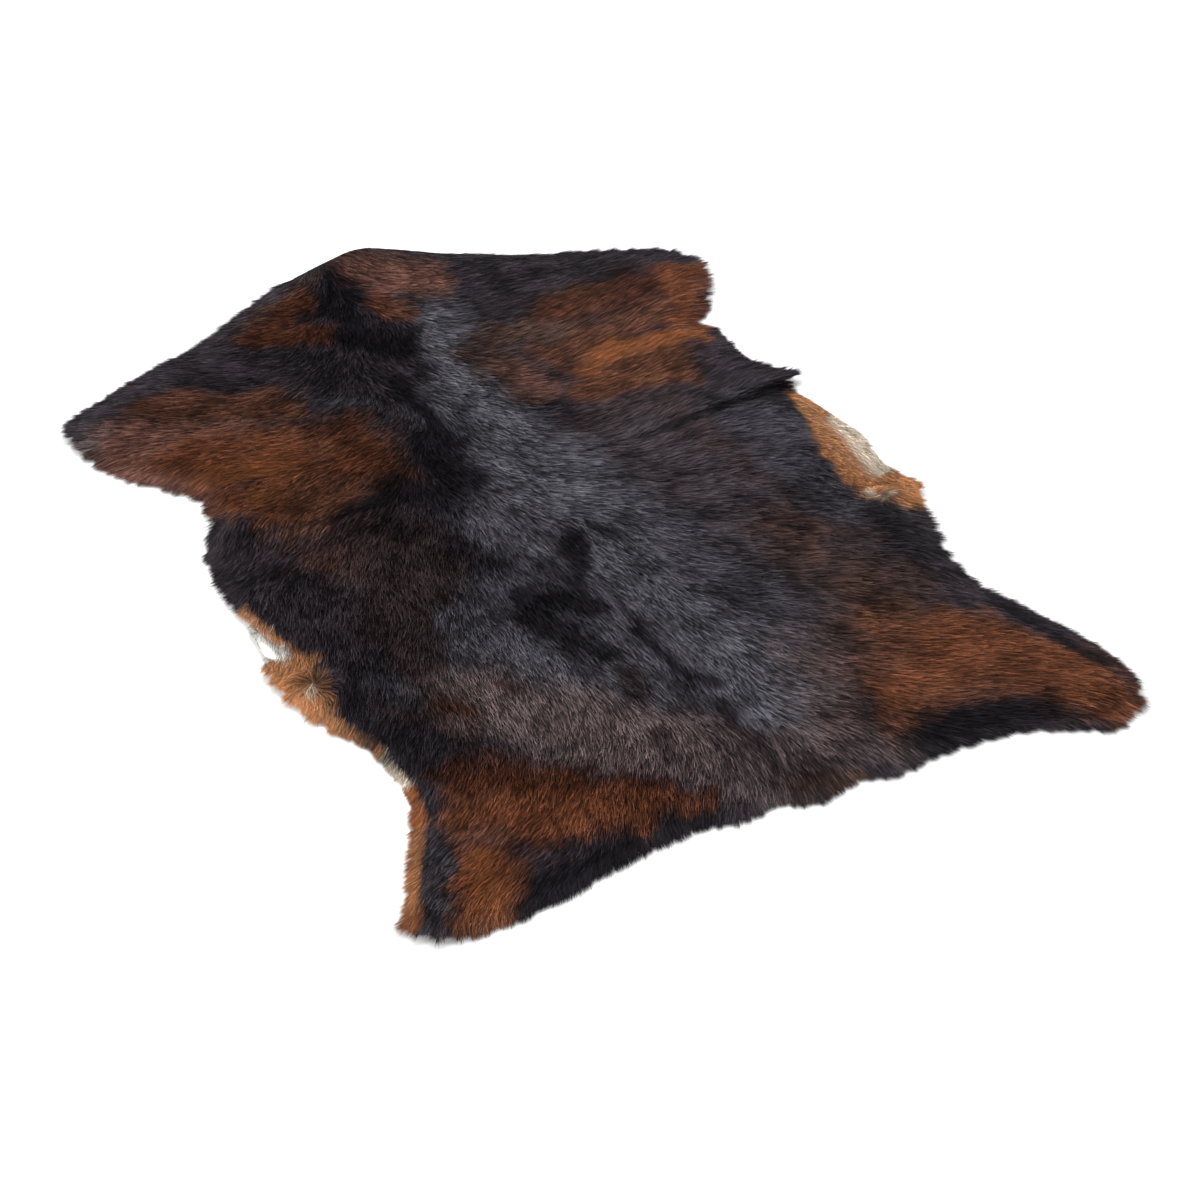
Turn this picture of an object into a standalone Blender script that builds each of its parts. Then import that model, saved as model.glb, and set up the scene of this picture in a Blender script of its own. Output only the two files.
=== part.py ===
"""A goatskin rug: one tanned hide lying hair side up, as it was taken off the animal and trimmed.

Metres, +Z up. +Y runs along the spine from tail to neck and +X to the right of the back, seen from
above. The origin is under the middle of the hide, on the surface it lies on. The solid is the skin
with its lying pile: the underside is flat, and leaves the surface only where the skin is folded.
"""

import math
from collections import namedtuple

import bmesh
import bpy
from mathutils import Vector, noise

MM = 0.001

HIDE_LENGTH = 930 * MM  # neck edge to the tips of the rear legs
SKIN = 1.4 * MM  # tanned skin, without its hair
PILE_LOFT = 8.0 * MM  # short goat hair lying down over most of the back
RIM = 3.0 * MM  # skin and the few hairs at the cut edge
PILE_RUNOUT = 34 * MM  # breadth along the edge in which the pile thins to the rim
UNEVEN = 1.6 * MM  # soft lumps in the lying pile
LUMP = 70 * MM  # distance from one lump to the next
GRID = 17 * MM  # spacing of the cuts that let the surface bend
STEPS_PER_EDGE_ROW = 3
SHORTEST_SIDE = 1.5 * MM  # shorter sides than this are merged away

# The cut edge, going round from the tip of the left front leg over the neck, in millimetres. A round
# place lies on a smooth curve through its neighbours, and a corner breaks it.
Place = namedtuple("Place", "where x y corner")
EDGE = [
    Place("left front tip", -336, 304, True),
    Place("left front leg, upper", -316, 326, False),
    Place("left front leg, upper", -238, 363, False),
    Place("left shoulder", -172, 384, False),
    Place("neck, left", -112, 418, False),
    Place("neck, left", -60, 442, False),
    Place("neck fold", -6, 452, False),
    Place("neck fold", 34, 448, False),
    Place("neck fold", 70, 434, False),
    Place("neck, right", 110, 414, False),
    Place("right shoulder", 165, 388, False),
    Place("right shoulder", 226, 360, False),
    Place("right front leg, upper", 292, 332, False),
    Place("right front tip", 318, 310, True),
    Place("right front tip", 326, 278, False),
    Place("right front tip", 309, 240, False),
    Place("right front tip", 294, 212, True),
    Place("right armpit", 268, 192, True),
    Place("right elbow", 283, 176, True),
    Place("right elbow", 282, 138, False),
    Place("right chest", 290, 102, False),
    Place("tip of the right fold", 307, 63, True),
    Place("under the right fold", 297, 55, True),
    Place("right belly", 304, 20, False),
    Place("right belly", 311, -42, False),
    Place("right belly", 306, -90, False),
    Place("right flank tuft", 319, -134, True),
    Place("right flank", 304, -168, False),
    Place("right groin", 286, -228, False),
    Place("right thigh", 289, -276, False),
    Place("right rear leg, upper", 315, -340, False),
    Place("right rear leg, upper", 333, -400, False),
    Place("right rear tip", 328, -444, False),
    Place("right rear tip", 318, -462, True),
    Place("right rear tip", 286, -474, True),
    Place("right rear leg, lower", 256, -458, False),
    Place("right rear leg, lower", 206, -437, False),
    Place("right buttock", 146, -432, False),
    Place("right buttock", 100, -438, True),
    Place("right buttock", 68, -427, False),
    Place("tail", 26, -436, True),
    Place("tail", 0, -423, True),
    Place("left buttock", -46, -424, False),
    Place("left buttock", -72, -415, False),
    Place("left buttock", -142, -421, False),
    Place("left rear leg, lower", -216, -434, False),
    Place("left rear leg, lower", -278, -434, False),
    Place("left rear tip", -309, -428, True),
    Place("left rear tip", -320, -405, True),
    Place("left rear leg, upper", -284, -340, False),
    Place("left rear leg, upper", -262, -298, False),
    Place("left thigh", -256, -252, False),
    Place("left groin", -266, -202, False),
    Place("left flank", -290, -158, False),
    Place("left flank tuft", -300, -112, False),
    Place("left flank tuft", -295, -68, True),
    Place("left belly", -292, -25, False),
    Place("left belly", -291, 40, False),
    Place("left elbow", -286, 82, True),
    Place("left armpit", -260, 124, False),
    Place("left armpit", -263, 172, True),
    Place("left front leg, lower", -304, 212, False),
    Place("left front leg, lower", -330, 264, False),
]

# Where the skin leaves the surface it lies on: a ridge from one point to another, in millimetres, that
# falls off over one breadth to its left and another to its right, seen from its start to its end.
Ridge = namedtuple("Ridge", "where x1 y1 x2 y2 left right rise1 rise2")
SKIN_RIDGES = [
    Ridge("neck edge rolled up, left half", -80, 428, 26, 448, 40, 62, 2, 17),
    Ridge("neck edge rolled up, right half", 26, 448, 118, 410, 40, 66, 17, 3),
    Ridge("left armpit fold, outer half", -262, 104, -170, 66, 44, 24, 7, 8),
    Ridge("left armpit fold, inner half", -170, 66, -84, 74, 44, 24, 8, 1),
    Ridge("right front leg end, turned up", 262, 262, 330, 250, 56, 50, 1, 9),
    Ridge("left flank edge, curled", -292, 30, -298, -92, 20, 20, 3, 8),
    Ridge("left flank edge, curled", -298, -92, -286, -150, 20, 24, 8, 2),
    Ridge("right belly edge, curled", 306, 30, 309, -70, 22, 22, 2, 7),
    Ridge("right flank tuft", 309, -70, 310, -140, 30, 22, 7, 6),
    Ridge("right rear leg", 214, -362, 322, -440, 44, 40, 1, 7),
    Ridge("left rear leg", -262, -330, -306, -420, 36, 36, 1, 6),
    Ridge("left front leg", -200, 306, -330, 300, 48, 44, 1, 7),
]

# Pleats, with the same columns: each is steep towards the tail, where it lies over the skin behind it.
PLEATS = [
    Ridge("right armpit pleat, inner end", 70, 58, 140, 52, 30, 8, 0.5, 3.5),
    Ridge("right armpit pleat, middle", 140, 52, 213, 58, 40, 8, 3.5, 6.5),
    Ridge("right armpit pleat, outer end", 213, 58, 307, 63, 46, 8, 6.5, 9.5),
]
PLEAT_CUT_REACH = 60 * MM  # the sheet is cut along a pleat this far to its sides

# Where the pile lies lower than around it, with the same columns: the rise is how far it sinks.
PILE_TROUGHS = [
    Ridge("spine, withers", -34, 430, -16, 261, 26, 26, 2, 3),
    Ridge("spine, shoulders", -16, 261, -37, 85, 22, 22, 3, 3),
    Ridge("spine, loin", -37, 85, -8, -221, 22, 22, 3, 3),
    Ridge("spine, croup", -8, -221, 24, -320, 22, 22, 3, 3),
    Ridge("tail root", 24, -320, 4, -424, 22, 22, 3, 4),
    Ridge("thin hair of the right belly", 300, 50, 288, -110, 34, 26, 3, 4),
    Ridge("thin hair of the left belly", -284, 0, -284, -120, 26, 34, 3, 4),
]

# Colours are linear; the coat is brown black.
COAT = (0.018, 0.013, 0.012, 1.0)
COAT_ROUGHNESS = 0.55


def clear_scene():
    """Removes what the file opened with."""
    for thing in list(bpy.data.objects):
        bpy.data.objects.remove(thing, do_unlink=True)


def smooth_edge(places, steps):
    """The cut edge as a closed loop of points: Hermite spans, without slope where a place is a corner."""
    count = len(places)
    at = [Vector((p.x, p.y)) * MM for p in places]

    def leaving(i, ahead):
        if places[i].corner:
            return at[(i + 1) % count] - at[i] if ahead else at[i] - at[i - 1]
        return (at[(i + 1) % count] - at[i - 1]) / 2

    loop = []
    for i in range(count):
        start, end = at[i], at[(i + 1) % count]
        out, into = leaving(i, True), leaving((i + 1) % count, False)
        for step in range(steps):
            t = step / steps
            loop.append(
                start * (2 * t**3 - 3 * t**2 + 1)
                + out * (t**3 - 2 * t**2 + t)
                + end * (3 * t**2 - 2 * t**3)
                + into * (t**3 - t**2)
            )
    return loop


def fitted(loop, length):
    """The loop centred on the origin, and scaled to the hide's length along Y."""
    low = Vector((min(p.x for p in loop), min(p.y for p in loop)))
    high = Vector((max(p.x for p in loop), max(p.y for p in loop)))
    middle = (low + high) / 2
    scale = length / (high.y - low.y)
    return [(p - middle) * scale for p in loop], middle, scale


def distance_to_edge(point, loop):
    nearest = math.inf
    for i, start in enumerate(loop):
        end = loop[(i + 1) % len(loop)]
        along = end - start
        t = max(0.0, min(1.0, (point - start).dot(along) / along.length_squared))
        nearest = min(nearest, (start + along * t - point).length)
    return nearest


def ridge_ends(ridge, middle, scale):
    start = (Vector((ridge.x1, ridge.y1)) * MM - middle) * scale
    end = (Vector((ridge.x2, ridge.y2)) * MM - middle) * scale
    return start, end


def ridge_height(point, ridge, middle, scale):
    """How high one ridge stands at a point: a cosine across it, and straight from start to end."""
    start, end = ridge_ends(ridge, middle, scale)
    along = end - start
    share = (point - start).dot(along) / along.length_squared
    t = max(0.0, min(1.0, share))
    off = point - (start + along * t)
    side = along.x * off.y - along.y * off.x
    breadth = (ridge.left if side > 0 else ridge.right) * MM * scale
    if off.length >= breadth:
        return 0.0
    rise = (ridge.rise1 + (ridge.rise2 - ridge.rise1) * t) * MM
    return rise * 0.5 * (1 + math.cos(math.pi * off.length / breadth))


def highest(point, ridges, middle, scale):
    return max(ridge_height(point, r, middle, scale) for r in ridges)


def pile_top(point, edge_distance, middle, scale):
    """Thickness of skin and pile at a point."""
    t = min(1.0, edge_distance / PILE_RUNOUT)
    body = t * t * (3 - 2 * t)
    lump = noise.noise(Vector((point.x, point.y, 0)) / LUMP)
    sunk = highest(point, PILE_TROUGHS, middle, scale)
    full = SKIN + PILE_LOFT + UNEVEN * lump - sunk
    return RIM + (full - RIM) * body


def cut_to_grid(bm, low, high):
    """Cuts the flat sheet along both axes, so that it can bend at each cut."""
    for normal, start, end in ((Vector((1, 0, 0)), low.x, high.x), (Vector((0, 1, 0)), low.y, high.y)):
        cuts = int((end - start) / GRID)
        for i in range(1, cuts + 1):
            bmesh.ops.bisect_plane(
                bm,
                geom=bm.verts[:] + bm.edges[:] + bm.faces[:],
                dist=1e-6,
                plane_co=normal * (start + i * (end - start) / (cuts + 1)),
                plane_no=normal,
            )


def cut_along_pleat(bm, pleat, middle, scale):
    """Cuts the faces near a pleat along its crest, down its steep side and at its foot."""
    start, end = ridge_ends(pleat, middle, scale)
    along = (end - start).to_3d()
    tailward = Vector((along.y, -along.x, 0)).normalized()
    for share in (0, 0.5, 1):
        near = []
        for f in bm.faces:
            off = f.calc_center_median() - start.to_3d()
            t = off.dot(along) / along.length_squared
            if -0.05 < t < 1.05 and abs(off.dot(tailward)) < PLEAT_CUT_REACH:
                near.append(f)
        edges = {e for f in near for e in f.edges}
        corners = {v for f in near for v in f.verts}
        bmesh.ops.bisect_plane(
            bm,
            geom=near + list(edges) + list(corners),
            dist=1e-6,
            plane_co=start.to_3d() + tailward * share * pleat.right * MM * scale,
            plane_no=tailward,
        )


def goatskin():
    """The hide: a flat sheet of the outline, cut to a grid, thickened, and bent over its folds."""
    loop, middle, scale = fitted(smooth_edge(EDGE, STEPS_PER_EDGE_ROW), HIDE_LENGTH)
    low = Vector((min(p.x for p in loop), min(p.y for p in loop)))
    high = Vector((max(p.x for p in loop), max(p.y for p in loop)))
    bm = bmesh.new()
    bm.faces.new([bm.verts.new((p.x, p.y, 0)) for p in loop])
    cut_to_grid(bm, low, high)
    for pleat in PLEATS:
        cut_along_pleat(bm, pleat, middle, scale)
    bmesh.ops.remove_doubles(bm, verts=bm.verts, dist=SHORTEST_SIDE)
    bmesh.ops.dissolve_degenerate(bm, edges=bm.edges, dist=SHORTEST_SIDE / 3)

    under = bm.faces[:]
    grown = bmesh.ops.extrude_face_region(bm, geom=under, use_keep_orig=True)["geom"]
    top = {v for v in grown if isinstance(v, bmesh.types.BMVert)}
    for v in bm.verts:
        point = Vector((v.co.x, v.co.y))
        lift = highest(point, SKIN_RIDGES + PLEATS, middle, scale)
        thickness = pile_top(point, distance_to_edge(point, loop), middle, scale) if v in top else 0.0
        v.co.z = lift + thickness
    bmesh.ops.recalc_face_normals(bm, faces=bm.faces)

    flat = [f for f in bm.faces if all(v.co.z == 0 for v in f.verts)]
    sides = {e for f in flat for e in f.edges if all(g in flat for g in e.link_faces)}
    corners = {v for e in sides for v in e.verts if all(g in flat for g in v.link_faces)}
    bmesh.ops.dissolve_limit(
        bm, angle_limit=math.radians(0.1), use_dissolve_boundaries=False, verts=list(corners), edges=list(sides)
    )
    bmesh.ops.triangulate(bm, faces=bm.faces)

    mesh = bpy.data.meshes.new("goatskin")
    bm.to_mesh(mesh)
    bm.free()
    hide = bpy.data.objects.new("goatskin", mesh)
    bpy.context.scene.collection.objects.link(hide)
    mesh.shade_smooth()
    mesh.set_sharp_from_angle(angle=math.radians(60))
    mesh.materials.append(coat_material())
    return hide


def coat_material():
    """Goat hair on tanned skin: brown black, with a dull sheen."""
    coat = bpy.data.materials.new("goat hair")
    coat.use_nodes = True
    shader = coat.node_tree.nodes["Principled BSDF"]
    shader.inputs["Base Color"].default_value = COAT
    shader.inputs["Roughness"].default_value = COAT_ROUGHNESS
    shader.inputs["Metallic"].default_value = 0.0
    return coat


clear_scene()
goatskin()
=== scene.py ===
import math
from collections import namedtuple

import bmesh
import bpy
import numpy as np
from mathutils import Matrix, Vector
from mathutils.bvhtree import BVHTree


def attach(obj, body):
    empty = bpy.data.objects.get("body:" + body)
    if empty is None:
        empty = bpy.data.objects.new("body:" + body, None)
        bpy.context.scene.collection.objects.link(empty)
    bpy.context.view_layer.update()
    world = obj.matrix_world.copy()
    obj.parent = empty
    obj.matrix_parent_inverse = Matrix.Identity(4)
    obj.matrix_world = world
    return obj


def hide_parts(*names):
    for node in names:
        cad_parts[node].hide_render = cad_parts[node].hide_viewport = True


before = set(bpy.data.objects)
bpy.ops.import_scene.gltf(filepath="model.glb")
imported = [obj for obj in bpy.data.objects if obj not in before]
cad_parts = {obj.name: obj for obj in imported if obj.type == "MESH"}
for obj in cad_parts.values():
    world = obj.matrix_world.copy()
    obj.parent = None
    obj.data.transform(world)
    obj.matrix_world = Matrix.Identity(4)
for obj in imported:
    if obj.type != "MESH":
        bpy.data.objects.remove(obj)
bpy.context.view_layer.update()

MM = 0.001


# The studio. The hide lies loose on a plain pale floor under large soft lamps, and is seen from the
# left of its tail, from standing height, through a long lens.
CAMERA_TURN = math.radians(28)  # from the spine towards the hide's right
CAMERA_RISE = math.radians(40)
CAMERA_DISTANCE = 2.357
CAMERA_AIM = Vector((-0.007, -0.1215, 0))
FRAME_AT_AIM = 1.0375  # metres of floor across the picture, at the aim
FLOOR_SIDE = 24
FLOOR_HEX = "f6f6f6"
SENSOR = 36.0  # millimetres

Softbox = namedtuple("Softbox", "name place aim side watts")
SOFTBOXES = [
    Softbox("overhead_softbox", (0.2, 0.6, 2.4), (0, 0, 0), 2.0, 58),
    Softbox("window_softbox", (-2.2, 0.2, 1.7), (0, 0, 0), 1.4, 40),
    Softbox("front_softbox", (-0.4, -2.6, 1.8), (0, 0, 0), 1.6, 27),
]
SKY_STRENGTH = 0.42


def hex_to_linear(code):
    """An sRGB hex colour as the linear RGBA that the shaders take."""
    parts = [int(code[i : i + 2], 16) / 255 for i in (0, 2, 4)]
    return tuple(p / 12.92 if p <= 0.04045 else ((p + 0.055) / 1.055) ** 2.4 for p in parts) + (1.0,)


def add_node(tree, kind, settings=None, **inputs):
    """Adds a node, sets it up, and sets or links its inputs, which are named by words or by _ and index."""
    node = tree.nodes.new(kind)
    for name, value in (settings or {}).items():
        setattr(node, name, value)
    for name, value in inputs.items():
        socket = node.inputs[int(name[1:])] if name[0] == "_" else node.inputs[name.replace("_", " ")]
        if isinstance(value, bpy.types.NodeSocket):
            tree.links.new(value, socket)
        else:
            socket.default_value = value
    return node


def new_material(name):
    """An empty node material and its tree."""
    material = bpy.data.materials.new(name)
    material.use_nodes = True
    material.node_tree.nodes.clear()
    return material, material.node_tree


def object_from(bm, name):
    mesh = bpy.data.meshes.new(name)
    bm.to_mesh(mesh)
    bm.free()
    thing = bpy.data.objects.new(name, mesh)
    bpy.context.scene.collection.objects.link(thing)
    return thing


bm = bmesh.new()
bmesh.ops.create_grid(bm, x_segments=1, y_segments=1, size=FLOOR_SIDE / 2)
floor = object_from(bm, "floor")
paper, tree = new_material("matt white paper floor")
shader = add_node(tree, "ShaderNodeBsdfPrincipled", Base_Color=hex_to_linear(FLOOR_HEX), Roughness=0.9)
add_node(tree, "ShaderNodeOutputMaterial", Surface=shader.outputs[0])
floor.data.materials.append(paper)

for box in SOFTBOXES:
    lamp = bpy.data.lights.new(box.name, "AREA")
    lamp.shape = "SQUARE"
    lamp.size = box.side
    lamp.energy = box.watts
    holder = bpy.data.objects.new(box.name, lamp)
    holder.location = box.place
    holder.rotation_euler = (Vector(box.aim) - Vector(box.place)).to_track_quat("-Z", "Y").to_euler()
    bpy.context.scene.collection.objects.link(holder)

sky = bpy.data.worlds.new("soft white surroundings")
sky.use_nodes = True
sky.node_tree.nodes["Background"].inputs["Color"].default_value = (1, 1, 1, 1)
sky.node_tree.nodes["Background"].inputs["Strength"].default_value = SKY_STRENGTH
bpy.context.scene.world = sky
bpy.context.scene.view_settings.view_transform = "Standard"

eye = bpy.data.cameras.new("camera")
eye.sensor_width = SENSOR
eye.lens = SENSOR * CAMERA_DISTANCE / FRAME_AT_AIM
camera = bpy.data.objects.new("camera", eye)
level = math.cos(CAMERA_RISE)
looking = Vector((math.sin(CAMERA_TURN) * level, math.cos(CAMERA_TURN) * level, -math.sin(CAMERA_RISE)))
camera.location = CAMERA_AIM - looking * CAMERA_DISTANCE
camera.rotation_euler = (math.pi / 2 - CAMERA_RISE, 0, -CAMERA_TURN)
bpy.context.scene.collection.objects.link(camera)
bpy.context.scene.camera = camera


# The lie of the hide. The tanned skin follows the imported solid: its underside is the skin's, and its top
# is that of the lying pile. Both heights, and the way the hair was combed, are kept on one lattice.
LATTICE = 4 * MM
MARGIN = 48 * MM
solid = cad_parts["goatskin"]
bm = bmesh.new()
bm.from_mesh(solid.data)
bmesh.ops.remove_doubles(bm, verts=bm.verts, dist=0.01 * MM)
lie = BVHTree.FromBMesh(bm)

under = [f for f in bm.faces if f.normal.z < -0.3]
rim = [e for e in bm.edges if sum(f in set(under) for f in e.link_faces) == 1]
step = {}
for e in rim:
    for a, b in (e.verts, reversed(e.verts)):
        step.setdefault(a, []).append(b)
walk = [rim[0].verts[0], rim[0].verts[1]]
while len(walk) < len(rim):
    walk.append(next(v for v in step[walk[-1]] if v is not walk[-2]))
outline = np.array([v.co.xy for v in walk])
bm.free()


def signed_area(loop):
    """The area inside a closed loop, negative where it runs clockwise."""
    turned = np.roll(loop, -1, 0)
    return 0.5 * (loop[:, 0] * turned[:, 1] - loop[:, 1] * turned[:, 0]).sum()


if signed_area(outline) < 0:
    outline = outline[::-1].copy()

lattice_x = np.arange(outline[:, 0].min() - MARGIN, outline[:, 0].max() + MARGIN, LATTICE)
lattice_y = np.arange(outline[:, 1].min() - MARGIN, outline[:, 1].max() + MARGIN, LATTICE)
grid_x, grid_y = np.meshgrid(lattice_x, lattice_y, indexing="ij")


def height_from(start, direction):
    """Height of the solid's first face met from above or below, and nothing beside it."""
    heights = np.full(grid_x.shape, np.nan)
    for i, x in enumerate(lattice_x):
        for j, y in enumerate(lattice_y):
            hit = lie.ray_cast(Vector((x, y, start)), direction)[0]
            if hit is not None:
                heights[i, j] = hit.z
    return heights


def spread_outwards(field):
    """Fills the lattice beside the hide with the nearest known values."""
    field = field.copy()
    for _ in range(int(MARGIN / LATTICE) + 2):
        padded = np.pad(field, 1, constant_values=np.nan)
        around = np.stack([padded[1 + i : padded.shape[0] - 1 + i, 1 + j : padded.shape[1] - 1 + j]
                           for i in (-1, 0, 1) for j in (-1, 0, 1)])
        known = ~np.isnan(around)
        count = known.sum(0)
        mean = np.where(known, around, 0).sum(0) / np.maximum(count, 1)
        field = np.where(np.isnan(field) & (count > 0), mean, field)
    return np.nan_to_num(field)


def at(field, x, y):
    """A lattice field's value at points, between its own."""
    u = np.clip((x - lattice_x[0]) / LATTICE, 0, len(lattice_x) - 1.001)
    v = np.clip((y - lattice_y[0]) / LATTICE, 0, len(lattice_y) - 1.001)
    i, j = u.astype(int), v.astype(int)
    a, b = u - i, v - j
    near = field[i, j] * (1 - a) + field[i + 1, j] * a
    far = field[i, j + 1] * (1 - a) + field[i + 1, j + 1] * a
    return near * (1 - b) + far * b


underside = height_from(-1, Vector((0, 0, 1)))
pile_top = height_from(1, Vector((0, 0, -1)))
pile = spread_outwards(pile_top - underside)
lift = spread_outwards(underside)

Stroke = namedtuple("Stroke", "where x y heading")
# Hair headings in degrees, 0 to the hide's right and -90 to its tail; places in millimetres.
COMB = [
    Stroke("left front tip", -325, 310, 167),
    Stroke("left front leg, lower edge", -306, 256, -166),
    Stroke("left front leg, upper edge", -210, 376, 177),
    Stroke("left front leg", -237, 281, 180),
    Stroke("left armpit", -256, 195, -144),
    Stroke("left shoulder", -175, 212, -173),
    Stroke("neck, left", -100, 415, -175),
    Stroke("nape", -40, 350, -120),
    Stroke("neck, right", 47, 406, -52),
    Stroke("withers", 3, 244, -80),
    Stroke("left of the withers", -95, 188, -139),
    Stroke("left ribs", -156, 117, -139),
    Stroke("left elbow", -261, 76, -125),
    Stroke("left elbow edge", -286, 73, -154),
    Stroke("left belly", -236, 0, -117),
    Stroke("left side", -121, 0, -112),
    Stroke("spine, shoulders", -8, 72, -80),
    Stroke("spine, back", -12, -57, -91),
    Stroke("spine, loin", -17, -176, -95),
    Stroke("left loin", -155, -189, -102),
    Stroke("left flank", -203, -135, -115),
    Stroke("left thigh", -245, -230, -126),
    Stroke("left rear tip", -294, -385, -134),
    Stroke("left rear leg", -223, -362, -145),
    Stroke("left buttock", -120, -340, -129),
    Stroke("tail, left", -33, -375, -120),
    Stroke("tail", 10, -377, -105),
    Stroke("croup", 6, -274, -98),
    Stroke("tail, right", 84, -398, -88),
    Stroke("right buttock", 101, -325, -63),
    Stroke("right thigh", 217, -329, -41),
    Stroke("right rear leg, lower", 211, -411, -37),
    Stroke("right rear tip", 306, -420, -54),
    Stroke("right rear leg, upper", 306, -348, -58),
    Stroke("right groin", 275, -210, -66),
    Stroke("right flank", 283, -149, -46),
    Stroke("right belly", 225, 0, -39),
    Stroke("right belly edge", 298, 20, -80),
    Stroke("right belly edge, lower", 286, -60, -88),
    Stroke("right side", 150, -150, -50),
    Stroke("right ribs", 73, 29, -50),
    Stroke("right shoulder, lower", 165, 121, -20),
    Stroke("right shoulder", 186, 242, 0),
    Stroke("right front leg end", 299, 262, -14),
    Stroke("right elbow", 269, 169, -18),
    Stroke("along the right pleat, inner", 150, 78, -6),
    Stroke("along the right pleat, outer", 260, 88, 0),
    Stroke("right shoulder, inner", 117, 279, -18),
    Stroke("right shoulder, upper", 130, 393, -33),
    Stroke("right front leg, upper", 295, 337, -13),
]
COMB_SOFTNESS = 30 * MM  # how far a stroke rules before its neighbours blend in

comb_x, comb_y = np.zeros_like(grid_x), np.zeros_like(grid_x)
for stroke in COMB:
    apart = (grid_x - stroke.x * MM) ** 2 + (grid_y - stroke.y * MM) ** 2
    weight = 1 / (apart + COMB_SOFTNESS**2) ** 2
    comb_x += weight * math.cos(math.radians(stroke.heading))
    comb_y += weight * math.sin(math.radians(stroke.heading))

Whorl = namedtuple("Whorl", "where x y reach spin")
# Where the hair turns round a point: spin is the angle between its heading and straight outwards.
WHORLS = [
    Whorl("left flank", -272, -112, 20, 15),
    Whorl("right flank", 284, -116, 15, -55),
]
WHORL_SHARE = 0.75  # the rest keeps to the lie around it
length_of_comb = np.hypot(comb_x, comb_y)
comb_x, comb_y = comb_x / length_of_comb, comb_y / length_of_comb
for whorl in WHORLS:
    out_x, out_y = grid_x - whorl.x * MM, grid_y - whorl.y * MM
    far = np.hypot(out_x, out_y) + 1e-6
    spin = math.radians(whorl.spin)
    share = WHORL_SHARE * np.clip(1.5 - far / (whorl.reach * MM), 0, 1)
    round_x = (out_x * math.cos(spin) - out_y * math.sin(spin)) / far
    round_y = (out_x * math.sin(spin) + out_y * math.cos(spin)) / far
    comb_x = comb_x * (1 - share) + round_x * share
    comb_y = comb_y * (1 - share) + round_y * share


# The coat's markings. Goat hair is coloured as it grows, so each lock has one colour: brown black over the
# back, russet on neck, shoulders and legs, ginger and cream at the flanks. The grey over the black back is
# painted sheen, where black hair lies sleek to the light, and a few dark marks are painted shade in creases
# and curls.
COATS = {
    "black": "110f14",
    "charcoal": "2b262b",
    # The next three are not grey hair but painted sheen on the black hair, from faint to bright.
    "faint_sheen": "3a383e",
    "grey_sheen": "4b4a50",
    "bright_sheen": "5b5a61",
    "taupe": "5e5050",
    "umber": "2c2324",
    "mahogany": "4a2a1c",
    "brown": "422f28",
    "chestnut": "5a3828",
    "dusty": "67473e",
    "russet": "6c402b",
    "orange": "905736",
    "ginger": "b67e56",
    "tan": "ba8a64",
    "cream": "cfc0ae",
    "skin": "e4e2dc",
}
BASE_COAT = "charcoal"

Patch = namedtuple("Patch", "where x1 y1 x2 y2 breadth coat cover broken", defaults=(0,))
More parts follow.
